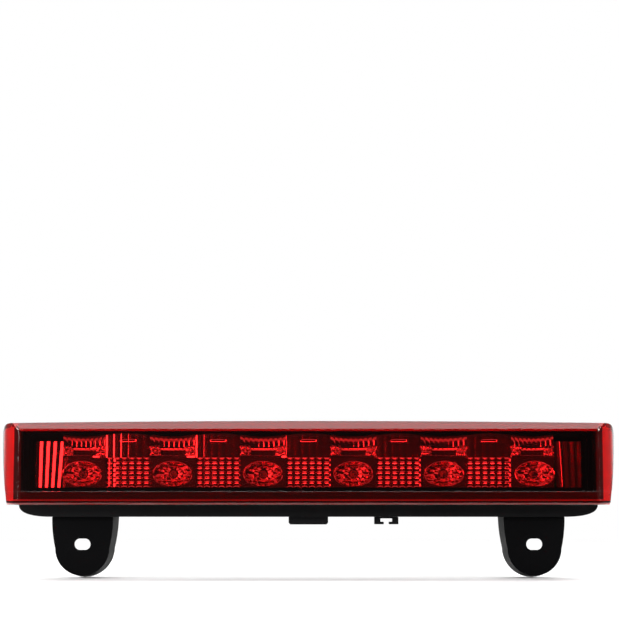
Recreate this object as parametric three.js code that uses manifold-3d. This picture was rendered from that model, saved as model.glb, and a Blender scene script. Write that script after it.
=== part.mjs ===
// A vehicle's high-mounted stop lamp: a red lens over a metallised reflector and six LEDs, in a
// black tub that hangs on two slotted brackets.
// Millimetres. +X runs along the lamp, -Y points out of the lens and +Z is up. The origin is the
// middle of the pad on the housing's back, in the mounting plane Y = 0.
import * as THREE from 'three';
import { mergeVertices } from 'three/addons/utils/BufferGeometryUtils.js';
import Module from 'manifold-3d';

const wasm = await Module();
wasm.setup();

// Clearances
const GAP = 0.3; // between pieces that touch
const RUNNING = 0.5; // round a piece that slides into another

// Lens
const LENS_LENGTH = 432;
const LENS_HEIGHT = 58;
const LENS_TOP = 25.3; // crown of its top edge above the origin
const LENS_CROWN = 1.5; // fall of the top edge towards each end
const LENS_FRONT = 58; // front face ahead of the mounting plane
const LENS_SKIRT = 26; // how far its sides run back from the front face
const LENS_WALL = 2.5;
const LENS_TAPER = 5.5; // how much each end leans in towards the bottom
const LENS_CORNER = 8; // its top corners
const FACE_LENGTH = 402; // flat front between the two wrapped ends
const LENS_END_WALL = 4; // thicker where the ends wrap back
const CHAMFER_HEIGHT = 5.8; // top chamfer
const CHAMFER_DEPTH = 7;
const BAND_HEIGHT = 9.3; // band below the window, set back by a small step
const BAND_STEP = 0.6;
const LIP = 1.2; // chamfer along the bottom lip
const RIB_WALL = 2.4; // rib inside the lens that meets the housing's collar

// Housing
const HOUSING_LENGTH = 408;
const HOUSING_WALL = 3;
const SUMP_DROP = 9; // how far the tub hangs below the lens
const TUB_CORNER_LENGTH = 24; // its long, low lower corners
const TUB_CORNER_HEIGHT = 8.4;
const TUB_CHAMFER = 3; // its upper corners
const BACK_OFFSET = 4; // back wall ahead of the mounting plane
const COLLAR_LENGTH = 402; // collar that reaches forward inside the lens
const COLLAR_REACH = 18;
const COLLAR_CORNER = 5; // its lower corners, and half of that inside
const COLLAR_SHOULDER = 3; // its upper corners, and half of that inside
const PAD_WIDTH = 40; // pad that rests on the vehicle
const PAD_HEIGHT = 16;
const BOSS_RADIUS = 3.6;
const BOSS_LENGTH = 6; // of a bracket screw's boss
const BOSS_BORE = 4;
const STIFFENER_WIDTH = 2; // ribs across the back, inside the gasket
const STIFFENER_DEPTH = 2.2;
const STIFFENER_HEIGHT = 24;
const STIFFENER_PLACES = [-175, -140, -95, -50, 50, 95, 140, 175];
const SEAL_DEPTH = 1.6;

// Reflector
const REFLECTOR_LENGTH = 381;
const REFLECTOR_HEIGHT = 37.6;
const REFLECTOR_RISE = 2; // its middle below the origin
const REFLECTOR_FRONT = 46; // flat lands ahead of the mounting plane
const PLATE_WALL = 2.5;
const PLATE_FRONT = 35.5; // front of its back plate ahead of the mounting plane
const CELL_PITCH = 63.2; // from one LED to the next
const LED_COUNT = 6;
const PRISM_WIDTH = 31;
const PRISM_FOOT = 0; // foot of the upper prism panels, from the origin
const END_CELL = 13.6; // outer half of the first and the last LED's cell
const END_DROP = 2; // end panels stop this far under the top
const PANEL_LAP = 0.1; // neighbouring panels run this far into each other
const BARREL_BULGE = 4; // how far an upper prism panel stands out of the lands
const STEP_BACK = 5; // how far an end panel and a lower prism panel lie behind the lands
const BOWL_WIDTH = 26;
const BOWL_HEIGHT = 17;
const BOWL_FLOOR = 1; // flat ring round an LED
const LED_HOLE = 0.9; // clearance round an LED
const PEG_RADIUS = 1.8; // pegs that hold the circuit board in place
const PEG_TIP = 1.2;
const LED_DROP = 11.4; // LED axis below the origin

// Circuit board, LEDs and small parts
const BOARD_WALL = 1.6;
const BOARD_LENGTH = 376;
const BOARD_HEIGHT = 24;
const BOARD_GAP = 2.5; // between the reflector's plate and the board
const LED_RADIUS = 2.5;
const LED_LENGTH = 8.6;
const LED_RIM = 0.4; // collar round an LED's foot
const LED_RIM_DEPTH = 1;
const SCREW_RADIUS = 1.4;
const SCREW_HEAD = 3;
const SCREW_LENGTH = 9;
const SCREW_TIP = 1.5;
const SCREW_CROWN = 1.8; // height of a head
const SCREW_SINK = 2.3; // depth of a bracket screw's counterbore
const CROSS_WIDTH = 0.7; // cross recess in a head
const CROSS_DEPTH = 0.9;
const BOARD_SCREW_PITCH = 126.4;
const RESISTOR_SIZE = [6.3, 1.1, 3.2];
const RESISTOR_PLACE = 42;
const DIODE_SIZE = [4.4, 2.2, 2.6];
const DIODE_PLACE = 22;
const BLOCK_CORNER = 0.3;

// Connector
const PLUG_WIDTH = 28;
const PLUG_DEPTH = 14;
const PLUG_SHOWS = 5.5; // how far its shroud stands out below the tub
const PLUG_BACK = 9; // its back face ahead of the mounting plane
const PLUG_WALL = 2.2;
const PLUG_CEILING = 2.5;
const PLUG_FLANGE = 3;
const PLUG_CORNER = 1.2;
const PIN_PITCH = 8;
const PIN_WIDTH = 2.4;
const PIN_WALL = 0.8;
const PIN_UP = 7; // a pin's tail above the connector
const PIN_SET_IN = 3; // a pin's tip above the connector's mouth
const PIN_POINT = 0.6; // corners of a pin's tip
const LEAD_RADIUS = 0.9;
const LEAD_LANDING = 1.7; // leads meet the board this far above its lower edge
const LEAD_SPREAD = 5; // and this far outside their pins
const LEAD_BOW = 3; // how far they bow forward on the way
const CONNECTOR_SEAL = 1.2;

// Harness clip
const CLIP_PLACE = 55.5;
const CLIP_WIDTH = 17;
const CLIP_HEIGHT = 5.1;
const CLIP_DEPTH = 9;
const CLIP_WALL = 4.2;
const CLIP_MOUTH = 3.8;
const CLIP_LIP = 1.7;
const CLIP_BRIDGE = 1;
const STUD_RADIUS = 2;
const STUD_BARB = 1;
const STUD_TIP = 3;

// Brackets
const BRACKET_SPACING = 321; // middle to middle
const BRACKET_WIDTH = 43.4; // front plate
const BRACKET_DROP = 43.6; // below the tub
const BRACKET_DEPTH = 20; // front plate ahead of the mounting plane
const BRACKET_DRAFT = 2; // the rim spreads this much towards the back
const BRACKET_WALL = 3;
const BRACKET_TAPER = 2.5; // each side leans in this much above the rounded end
const SLOT_LENGTH = 11.6;
const SLOT_WIDTH = 8;
const SLOT_BELOW = 19.5; // slot below the tub, under the bracket's middle
const TONGUE_WIDTH = 36;
const TONGUE_HEIGHT = 20;
const BRACKET_SCREW_PITCH = 20;

// Back of the housing
const GASKET_BAND = 7;
const GASKET_LENGTH = 396;
const GASKET_HEIGHT = 41;
const GASKET_CORNER = 8;
const BREATHER_PLACE = 120;
const BREATHER_RADIUS = 6;
const BREATHER_STEM = 3;
const BREATHER_HEIGHT = 2.8;
const BREATHER_EDGE = 1.2; // bevel round the cap
const BREATHER_EDGE_DEPTH = 0.8;
const BREATHER_INSIDE = 1.5; // stem inside the housing

// Places that follow from the sizes above
const lensBack = LENS_SKIRT - LENS_FRONT;
const lensBottom = LENS_TOP - LENS_HEIGHT;
const tubFront = lensBack + GAP;
const tubBottom = lensBottom - SUMP_DROP + GAP;
const collarFront = tubFront - COLLAR_REACH;
const collarTop = LENS_TOP - LENS_CROWN - LENS_WALL - RUNNING;
const tubTop = collarTop; // the lens's top edge overhangs the tub
const collarBottom = lensBottom + LENS_WALL + GAP;
const sealFront = collarFront - GAP - SEAL_DEPTH;
const plateBack = PLATE_WALL - PLATE_FRONT;
const boardFront = plateBack + BOARD_GAP;
const boardBack = boardFront + BOARD_WALL;
const boardMiddle = -REFLECTOR_RISE - REFLECTOR_HEIGHT / 2 + BOARD_HEIGHT / 2;
const reflectorTop = REFLECTOR_HEIGHT / 2 - REFLECTOR_RISE;
const reflectorBottom = reflectorTop - REFLECTOR_HEIGHT;
const floorTop = tubBottom + HOUSING_WALL;
const plugY = -PLUG_BACK - PLUG_DEPTH / 2;
const plugFlangeBottom = floorTop + CONNECTOR_SEAL + 2 * GAP;
const plugTop = plugFlangeBottom + PLUG_CEILING;
const plugMouth = tubBottom - PLUG_SHOWS;
const bracketTop = tubBottom - GAP;
const bracketBottom = tubBottom - BRACKET_DROP;
const bracketScrewZ = tubBottom + TONGUE_HEIGHT / 2;
const slotZ = tubBottom - SLOT_BELOW;

// A closed three.js geometry as a manifold; a profile may be drawn either way round.
function solid(geometry) {
  const bare = geometry.clone();
  bare.deleteAttribute('normal');
  bare.deleteAttribute('uv');
  const merged = mergeVertices(bare, 1e-4);
  const wrap = (corners) => new wasm.Manifold(new wasm.Mesh({
    numProp: 3,
    vertProperties: merged.attributes.position.array,
    triVerts: new Uint32Array(corners),
  }));
  const made = wrap(merged.index.array);
  return made.volume() > 0 ? made : wrap([...merged.index.array].reverse());
}

function geometryOf(manifold) {
  const mesh = manifold.getMesh();
  const geometry = new THREE.BufferGeometry();
  geometry.setAttribute('position', new THREE.BufferAttribute(mesh.vertProperties, 3));
  geometry.setIndex(new THREE.BufferAttribute(mesh.triVerts, 1));
  return geometry;
}

function box(x0, x1, y0, y1, z0, z1) {
  const geometry = new THREE.BoxGeometry(x1 - x0, y1 - y0, z1 - z0);
  geometry.translate((x0 + x1) / 2, (y0 + y1) / 2, (z0 + z1) / 2);
  return solid(geometry);
}

function extrude(shape, depth, curveSegments) {
  return new THREE.ExtrudeGeometry(shape, { depth, bevelEnabled: false, curveSegments });
}

// A shape drawn in X and Z, from y0 back to y1.
function alongY(shape, y0, y1, curveSegments = 6) {
  const geometry = extrude(shape, y1 - y0, curveSegments);
  geometry.rotateX(Math.PI / 2);
  geometry.translate(0, y1, 0);
  return solid(geometry);
}

// A shape drawn in Y and Z, from x0 to x1.
function alongX(shape, x0, x1, curveSegments = 6) {
  const geometry = extrude(shape, x1 - x0, curveSegments);
  geometry.applyMatrix4(new THREE.Matrix4().set(0, 0, 1, x0, 1, 0, 0, 0, 0, 1, 0, 0, 0, 0, 0, 1));
  return solid(geometry);
}

// A shape drawn in X and Y, from z0 up to z1.
function alongZ(shape, z0, z1, curveSegments = 6) {
  const geometry = extrude(shape, z1 - z0, curveSegments);
  geometry.translate(0, 0, z0);
  return solid(geometry);
}

// A turned piece about the Y axis at x, z: each point is a radius and a Y.
function turned(profile, x, z, segments = 16) {
  const points = profile.map(([radius, y]) => new THREE.Vector2(radius, y));
  return solid(new THREE.LatheGeometry(points, segments).translate(x, 0, z));
}

function rodY(radius, x, z, y0, y1, segments = 16) {
  return turned([[0, y0], [radius, y0], [radius, y1], [0, y1]], x, z, segments);
}

function polygon(points) {
  return new THREE.Shape(points.map(([a, b]) => new THREE.Vector2(a, b)));
}

// A rectangle with its own radius at the top and at the bottom corners.
function rounded(left, right, bottom, top, lower, upper = lower) {
  const shape = new THREE.Shape();
  shape.moveTo(left + lower, bottom);
  shape.lineTo(right - lower, bottom);
  shape.absarc(right - lower, bottom + lower, lower, -Math.PI / 2, 0, false);
  shape.lineTo(right, top - upper);
  shape.absarc(right - upper, top - upper, upper, 0, Math.PI / 2, false);
  shape.lineTo(left + upper, top);
  shape.absarc(left + upper, top - upper, upper, Math.PI / 2, Math.PI, false);
  shape.lineTo(left, bottom + lower);
  shape.absarc(left + lower, bottom + lower, lower, Math.PI, 1.5 * Math.PI, false);
  return shape;
}

function union(...parts) {
  return parts.reduce((whole, part) => whole.add(part));
}

function cut(whole, ...tools) {
  return tools.reduce((left, tool) => left.subtract(tool), whole);
}

const lamp = new THREE.Group();

function piece(name, manifold, color, roughness, metalness = 0) {
  const material = new THREE.MeshStandardMaterial({ color, roughness, metalness });
  const mesh = new THREE.Mesh(geometryOf(manifold), material);
  mesh.name = name;
  lamp.add(mesh);
}

// Lens: the front, side and plan outlines crossed with each other, all moved in by inset.
function lensBody(inset, back, endInset = inset) {
  const half = LENS_LENGTH / 2 - endInset;
  const top = LENS_TOP - inset;
  const bottom = lensBottom + inset;
  const slope = CHAMFER_HEIGHT / CHAMFER_DEPTH;
  const front = inset - LENS_FRONT;
  const chamferLow = LENS_TOP - CHAMFER_HEIGHT - inset * (Math.hypot(1, slope) - slope);
  const bandTop = lensBottom + BAND_HEIGHT;
  const side = polygon([
    [front, bandTop],
    [front + BAND_STEP, bandTop - BAND_STEP],
    [front + BAND_STEP, bottom + LIP],
    [front + BAND_STEP + LIP, bottom],
    [back, bottom],
    [back, top],
    [front + (top - chamferLow) / slope, top],
    [front, chamferLow],
  ]);
  const outline = new THREE.Shape();
  const foot = half - LENS_TAPER;
  const shoulder = top - LENS_CROWN - LENS_CORNER;
  outline.moveTo(-foot, bottom);
  outline.lineTo(foot, bottom);
  outline.quadraticCurveTo(half, bottom + LENS_HEIGHT / 2, half, shoulder);
  outline.quadraticCurveTo(half, top - LENS_CROWN, half - LENS_CORNER, top - LENS_CROWN);
  outline.quadraticCurveTo(0, top + LENS_CROWN, LENS_CORNER - half, top - LENS_CROWN);
  outline.quadraticCurveTo(-half, top - LENS_CROWN, -half, shoulder);
  outline.quadraticCurveTo(-half, bottom + LENS_HEIGHT / 2, -foot, bottom);
  const plan = new THREE.Shape();
  const corner = FACE_LENGTH / 2 - endInset * 0.4;
  const bend = (half + corner) / 2 + 2;
  plan.moveTo(-corner, front);
  plan.lineTo(corner, front);
  plan.quadraticCurveTo(bend, front + (lensBack - front) * 0.3, half, lensBack);
  plan.lineTo(half, back + 1);
  plan.lineTo(-half, back + 1);
  plan.lineTo(-half, lensBack);
  plan.quadraticCurveTo(-bend, front + (lensBack - front) * 0.3, -corner, front);
  const length = LENS_LENGTH / 2 + 1;
  return alongX(side, -length, length)
    .intersect(alongY(outline, -LENS_FRONT - 1, back, 10))
    .intersect(alongZ(plan, lensBottom - 1, LENS_TOP + 1, 8));
}

// A slice of the frame that the lens and the housing meet on, from y0 back to y1.
function ring(wall, y0, y1) {
  const half = COLLAR_LENGTH / 2;
  const inside = half - wall;
  return cut(
    alongY(rounded(-half, half, collarBottom, collarTop, COLLAR_CORNER, COLLAR_SHOULDER), y0, y1),
    alongY(rounded(-inside, inside, collarBottom + wall, collarTop - wall, COLLAR_CORNER / 2,
      COLLAR_SHOULDER / 2), y0 - 1, y1 + 1),
  );
}

const hollow = lensBody(LENS_WALL, lensBack + 1, LENS_END_WALL);
const rib = ring(RIB_WALL, -LENS_FRONT, sealFront - GAP).intersect(lensBody(LENS_WALL / 2, lensBack));
piece('outer_lens', union(cut(lensBody(0, lensBack), hollow), rib), 0xb00a10, 0.06);
piece('lens_seal', ring(RIB_WALL, sealFront, collarFront - GAP), 0x101010, 0.8);

// Housing
const backFace = -BACK_OFFSET;
const backInside = backFace - HOUSING_WALL;
const shoulderInside = tubFront + HOUSING_WALL;
const boardScrews = [-BOARD_SCREW_PITCH, 0, BOARD_SCREW_PITCH];
const bracketScrews = [-1, 1].flatMap((side) => [-1, 1].map(
  (half) => (side * BRACKET_SPACING + half * BRACKET_SCREW_PITCH) / 2,
));
const pilot = SCREW_RADIUS + GAP;
const clipY = plugY; // in line with the connector

function tubOutline(inset) {
  const half = HOUSING_LENGTH / 2 - inset;
  const low = tubBottom + inset;
  const high = tubTop - inset;
  const shape = new THREE.Shape();
  shape.moveTo(-half, low + TUB_CORNER_HEIGHT);
  shape.quadraticCurveTo(-half, low, TUB_CORNER_LENGTH - half, low);
  shape.lineTo(half - TUB_CORNER_LENGTH, low);
  shape.quadraticCurveTo(half, low, half, low + TUB_CORNER_HEIGHT);
  shape.lineTo(half, high - TUB_CHAMFER);
  shape.lineTo(half - TUB_CHAMFER, high);
  shape.lineTo(TUB_CHAMFER - half, high);
  shape.lineTo(-half, high - TUB_CHAMFER);
  return shape;
}

function around(x, y, halfX, halfY, z0, z1) {
  return box(x - halfX, x + halfX, y - halfY, y + halfY, z0, z1);
}

const mouth = COLLAR_LENGTH / 2 - HOUSING_WALL;
let housing = alongY(tubOutline(0), tubFront, backFace, 12);
housing = housing.add(ring(HOUSING_WALL, collarFront, tubFront + 1));
housing = cut(
  housing,
  alongY(tubOutline(HOUSING_WALL), shoulderInside, backInside, 12),
  alongY(rounded(-mouth, mouth, collarBottom + HOUSING_WALL, collarTop - HOUSING_WALL,
    COLLAR_CORNER / 2, COLLAR_SHOULDER / 2), tubFront - 1, shoulderInside + 1),
);
housing = union(
  housing,
  box(-PAD_WIDTH / 2, PAD_WIDTH / 2, backFace - 1, 0, -PAD_HEIGHT / 2, PAD_HEIGHT / 2),
  ...boardScrews.map((x) => rodY(BOSS_RADIUS, x, boardMiddle, boardBack + GAP, backInside + 1)),
  ...bracketScrews.map((x) => rodY(BOSS_RADIUS, x, bracketScrewZ, backInside - BOSS_LENGTH, backInside + 1)),
  ...STIFFENER_PLACES.map((x) => box(x - STIFFENER_WIDTH / 2, x + STIFFENER_WIDTH / 2, backFace - 1,
    backFace + STIFFENER_DEPTH, -STIFFENER_HEIGHT / 2, STIFFENER_HEIGHT / 2)),
);
housing = cut(
  housing,
  ...boardScrews.map((x) => rodY(pilot, x, boardMiddle, boardBack, boardBack + SCREW_LENGTH)),
  ...bracketScrews.map((x) => rodY(pilot, x, bracketScrewZ, backInside - BOSS_BORE, backFace + 1)),
  around(0, plugY, PLUG_WIDTH / 2 + GAP, PLUG_DEPTH / 2 + GAP, tubBottom - 1, floorTop + 1),
  alongZ(new THREE.Shape().absarc(CLIP_PLACE, clipY, STUD_RADIUS + GAP, 0, 2 * Math.PI),
    tubBottom - 1, floorTop + 1),
  rodY(BREATHER_STEM + GAP, BREATHER_PLACE, 0, backInside - 1, backFace + 1),
);
piece('housing', housing, 0x0c0c0d, 0.35);

// Reflector
const cellX = (index) => (index - (LED_COUNT - 1) / 2) * CELL_PITCH;
const leds = Array.from({ length: LED_COUNT }, (_, index) => cellX(index));
const prisms = leds.slice(1).map((x) => x - CELL_PITCH / 2);
const landHalf = (CELL_PITCH - PRISM_WIDTH) / 2;
const cellsEnd = cellX(LED_COUNT - 1) + END_CELL;
const plateEnd = REFLECTOR_LENGTH / 2;
const lands = -REFLECTOR_FRONT;
const seat = 1 - PLATE_FRONT; // panels are sunk this far into the plate

// A panel seen from above: its front bulges out, or in where bulge is negative.
function barrel(x0, x1, edge, bulge) {
  const shape = new THREE.Shape();
  shape.moveTo(x0, seat);
  shape.lineTo(x0, edge);
  shape.quadraticCurveTo((x0 + x1) / 2, edge - bulge, x1, edge);
  shape.lineTo(x1, seat);
  return shape;
}

// The hollow of one LED's bowl, open to the front.
function bowl(x) {
  const depth = REFLECTOR_FRONT - PLATE_FRONT;
  const foot = LED_RADIUS + BOWL_FLOOR;
  const profile = [[0, -1], [foot, -1]];
  const steps = 5;
  for (let step = 0; step <= steps; step += 1) {
    const share = step / steps;
    profile.push([THREE.MathUtils.lerp(foot, BOWL_WIDTH / 2, Math.sqrt(share)), share * depth]);
  }
  profile.push([BOWL_WIDTH / 2, depth + 1], [0, depth + 1]);
  const geometry = new THREE.LatheGeometry(profile.map(([r, y]) => new THREE.Vector2(r, y)), 24);
  geometry.rotateX(Math.PI);
  geometry.scale(1, 1, BOWL_HEIGHT / BOWL_WIDTH);
  geometry.translate(x, -PLATE_FRONT, -LED_DROP);
  return solid(geometry);
}

let reflector = box(-plateEnd, plateEnd, -PLATE_FRONT, plateBack, reflectorBottom, reflectorTop);
for (const x of leds) {
  const left = Math.max(x - landHalf, -cellsEnd);
  const right = Math.min(x + landHalf, cellsEnd);
  const low = box(left, right, lands, seat, reflectorBottom, PRISM_FOOT);
  const high = alongZ(barrel(left, right, lands, -BARREL_BULGE), PRISM_FOOT - 1, reflectorTop);
  reflector = cut(union(reflector, low, high), bowl(x));
}
for (const x of prisms) {
  const left = x - PRISM_WIDTH / 2 - PANEL_LAP;
  const right = x + PRISM_WIDTH / 2 + PANEL_LAP;
  const low = barrel(left, right, lands + STEP_BACK, BARREL_BULGE);
  const high = barrel(left, right, lands, BARREL_BULGE);
  reflector = union(reflector, alongZ(low, reflectorBottom, PRISM_FOOT + PANEL_LAP),
    alongZ(high, PRISM_FOOT, reflectorTop));
}
for (const side of [-1, 1]) {
  const panel = polygon([
    [side * (cellsEnd - PANEL_LAP), seat],
    [side * (cellsEnd - PANEL_LAP), lands + STEP_BACK],
    [side * plateEnd, lands],
    [side * plateEnd, seat],
  ]);
  reflector = reflector.add(alongZ(panel, reflectorBottom, reflectorTop - END_DROP));
}
const pegs = [-CELL_PITCH, CELL_PITCH];
reflector = cut(
  reflector,
  ...leds.map((x) => rodY(LED_RADIUS + LED_HOLE, x, -LED_DROP, -PLATE_FRONT - 2, plateBack + 1)),
);
reflector = union(
  reflector,
  ...pegs.map((x) => rodY(PEG_RADIUS, x, boardMiddle, plateBack - 1, boardBack + PEG_TIP, 12)),
);
piece('reflector', reflector, 0xd8d8da, 0.12, 1);

// Circuit board and what is on it
const board = cut(
  box(-BOARD_LENGTH / 2, BOARD_LENGTH / 2, boardFront, boardBack, boardMiddle - BOARD_HEIGHT / 2,
    boardMiddle + BOARD_HEIGHT / 2),
  ...boardScrews.map((x) => rodY(pilot, x, boardMiddle, boardFront - 1, boardBack + 1)),
  ...pegs.map((x) => rodY(PEG_RADIUS + GAP, x, boardMiddle, boardFront - 1, boardBack + 1)),
);
piece('circuit_board', board, 0x0d4a2a, 0.45);

leds.forEach((x, index) => {
  const base = boardFront - GAP;
  const dome = base - LED_LENGTH + LED_RADIUS;
  const rim = LED_RADIUS + LED_RIM;
  const profile = [[0, base], [rim, base], [rim, base - LED_RIM_DEPTH], [LED_RADIUS, base - LED_RIM_DEPTH]];
  for (const share of [0, 0.25, 0.5, 0.75]) {
    const angle = (share * Math.PI) / 2;
    profile.push([LED_RADIUS * Math.cos(angle), dome - LED_RADIUS * Math.sin(angle)]);
  }
  profile.push([0, dome - LED_RADIUS]);
  piece(`led_${index + 1}`, turned(profile, x, -LED_DROP), 0xa01414, 0.1);
});

// A screw under its head at y = under; along is 1 where it runs backwards and -1 where forwards.
function screw(x, z, under, along) {
  const crown = under - along * SCREW_CROWN;
  const profile = [
    [0, crown],
    [SCREW_HEAD * 0.75, crown],
    [SCREW_HEAD, (crown + under) / 2],
    [SCREW_HEAD, under],
    [SCREW_RADIUS, under],
    [SCREW_RADIUS, under + along * (SCREW_LENGTH - SCREW_TIP)],
    [0, under + along * SCREW_LENGTH],
  ];
  const long = SCREW_HEAD / 2;
  const slim = CROSS_WIDTH / 2;
  return cut(
    turned(profile, x, z, 14),
    around(x, crown, long, CROSS_DEPTH, z - slim, z + slim),
    around(x, crown, slim, CROSS_DEPTH, z - long, z + long),
  );
}
boardScrews.forEach((x, index) => {
  piece(`board_screw_${index + 1}`, screw(x, boardMiddle, boardFront - GAP, 1), 0xb8b8b4, 0.35, 1);
});

function block(name, [width, depth, height], x, color) {
  const front = boardBack + GAP;
  const shape = rounded(x - width / 2, x + width / 2, front, front + depth, BLOCK_CORNER);
  piece(name, alongZ(shape, boardMiddle - height / 2, boardMiddle + height / 2, 2), color, 0.5);
}
block('resistor_left', RESISTOR_SIZE, -RESISTOR_PLACE, 0x141416);
block('resistor_right', RESISTOR_SIZE, RESISTOR_PLACE, 0x141416);
block('polarity_diode', DIODE_SIZE, DIODE_PLACE, 0x1c1c1e);

// Connector: its shroud drops through the tub's floor and opens downwards.
function spade(half, top, bottom, corner) {
  return polygon([
    [-half, top],
    [-half, bottom + corner],
    [-half + corner, bottom],
    [half - corner, bottom],
    [half, bottom + corner],
    [half, top],
  ]);
}
const pins = [-PIN_PITCH / 2, PIN_PITCH / 2];
const plugFront = plugY - PLUG_DEPTH / 2;
const plugRear = plugY + PLUG_DEPTH / 2;
const flangeHalf = PLUG_WIDTH / 2 + PLUG_FLANGE;
const flangeBack = Math.min(plugRear + PLUG_FLANGE, backInside - GAP);
const connector = cut(
  union(
    alongY(spade(PLUG_WIDTH / 2, plugTop, plugMouth, PLUG_CORNER), plugFront, plugRear),
    box(-flangeHalf, flangeHalf, plugFront - PLUG_FLANGE, flangeBack, plugFlangeBottom, plugTop),
  ),
  around(0, plugY, PLUG_WIDTH / 2 - PLUG_WALL, PLUG_DEPTH / 2 - PLUG_WALL, plugMouth - 1, plugFlangeBottom),
  ...pins.map((x) => around(x, plugY, PIN_WIDTH / 2 + GAP, PIN_WALL / 2 + GAP, plugFlangeBottom - 1,
    plugTop + 1)),
);
piece('connector_body', connector, 0x151517, 0.5);
const connectorSeal = cut(
  box(-flangeHalf, flangeHalf, plugFront - PLUG_FLANGE, flangeBack, floorTop + GAP,
    floorTop + GAP + CONNECTOR_SEAL),
  around(0, plugY, PLUG_WIDTH / 2 + GAP, PLUG_DEPTH / 2 + GAP, floorTop, plugTop),
);
piece('connector_seal', connectorSeal, 0x8a3b2e, 0.8);
const pinTop = plugTop + PIN_UP;
const landing = boardMiddle - BOARD_HEIGHT / 2 + LEAD_LANDING;
['left', 'right'].forEach((side, index) => {
  const x = pins[index];
  const outline = spade(PIN_WIDTH / 2, pinTop, plugMouth + PIN_SET_IN, PIN_POINT);
  const blade = alongY(outline, plugY - PIN_WALL / 2, plugY + PIN_WALL / 2).translate([x, 0, 0]);
  piece(`terminal_pin_${side}`, blade, 0xc9b06a, 0.3, 1);
  const end = x + Math.sign(x) * LEAD_SPREAD;
  const route = new THREE.CatmullRomCurve3([
    new THREE.Vector3(x, plugY, pinTop + GAP),
    new THREE.Vector3(x, plugY, THREE.MathUtils.lerp(pinTop, landing, 0.3)),
    new THREE.Vector3((x + end) / 2, plugY - LEAD_BOW, THREE.MathUtils.lerp(pinTop, landing, 0.75)),
    new THREE.Vector3(end, boardBack + LEAD_BOW, landing),
    new THREE.Vector3(end, boardBack + GAP, landing),
  ]);
  const section = new THREE.Shape().absarc(0, 0, LEAD_RADIUS, 0, 2 * Math.PI);
  const lead = new THREE.ExtrudeGeometry(section, { steps: 14, curveSegments: 8, extrudePath: route });
  piece(`lead_${side}`, solid(lead), index ? 0x141414 : 0xa01c1c, 0.5);
});

// Harness clip: two hooks under the floor on a stud that snaps into it.
const clipTop = tubBottom - GAP;
const clipLow = clipTop - CLIP_HEIGHT;
const hookInside = CLIP_WIDTH / 2 - CLIP_WALL;
const clipShape = polygon([
  [-CLIP_WIDTH / 2, clipTop],
  [-CLIP_WIDTH / 2, clipLow],
  [-CLIP_MOUTH / 2, clipLow],
  [-CLIP_MOUTH / 2, clipLow + CLIP_LIP],
  [-hookInside, clipLow + CLIP_LIP],
  [-hookInside, clipTop - CLIP_BRIDGE],
  [hookInside, clipTop - CLIP_BRIDGE],
  [hookInside, clipLow + CLIP_LIP],
  [CLIP_MOUTH / 2, clipLow + CLIP_LIP],
  [CLIP_MOUTH / 2, clipLow],
  [CLIP_WIDTH / 2, clipLow],
  [CLIP_WIDTH / 2, clipTop],
]);
const barbFoot = floorTop + GAP;
const studProfile = [
  [0, clipTop - CLIP_BRIDGE / 2],
  [STUD_RADIUS, clipTop - CLIP_BRIDGE / 2],
  [STUD_RADIUS, barbFoot],
  [STUD_RADIUS + STUD_BARB, barbFoot],
  [STUD_RADIUS / 2, barbFoot + STUD_TIP],
  [0, barbFoot + STUD_TIP],
].map(([r, z]) => new THREE.Vector2(r, z));
const stud = new THREE.LatheGeometry(studProfile, 14).rotateX(Math.PI / 2).translate(CLIP_PLACE, clipY, 0);
const clipBody = alongY(clipShape, clipY - CLIP_DEPTH / 2, clipY + CLIP_DEPTH / 2)
  .translate([CLIP_PLACE, 0, 0]);
piece('harness_clip', clipBody.add(solid(stud)), 0x0e0e0f, 0.45);

// Brackets: a drafted dish with an open back, and a tongue that screws to the housing's back.
function bracketOutline(x, inset) {
  const half = BRACKET_WIDTH / 2 - inset;
  const round = half - BRACKET_TAPER;
  const middle = bracketBottom + BRACKET_DRAFT + inset + round;
  const shape = new THREE.Shape();
  shape.moveTo(x + half, bracketTop - inset);
  shape.lineTo(x - half, bracketTop - inset);
  shape.quadraticCurveTo(x - half, (bracketTop + middle) / 2, x - round, middle);
  shape.absarc(x, middle, round, Math.PI, 2 * Math.PI, false);
  shape.quadraticCurveTo(x + half, (bracketTop + middle) / 2, x + half, bracketTop - inset);
  return shape;
}

// The dish's outside: its rim spreads from the front plate to the back.
function drafted(shape, x) {
  const geometry = extrude(shape, BRACKET_DEPTH, 10).rotateX(Math.PI / 2);
  const middle = (bracketTop + bracketBottom) / 2;
  const spread = (BRACKET_WIDTH / 2 + BRACKET_DRAFT) / (BRACKET_WIDTH / 2);
  const places = geometry.attributes.position;
  for (let i = 0; i < places.count; i += 1) {
    if (places.getY(i) > -GAP) {
      places.setX(i, x + (places.getX(i) - x) * spread);
      places.setZ(i, middle + (places.getZ(i) - middle) * spread);
    }
  }
  return solid(geometry);
}

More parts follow.
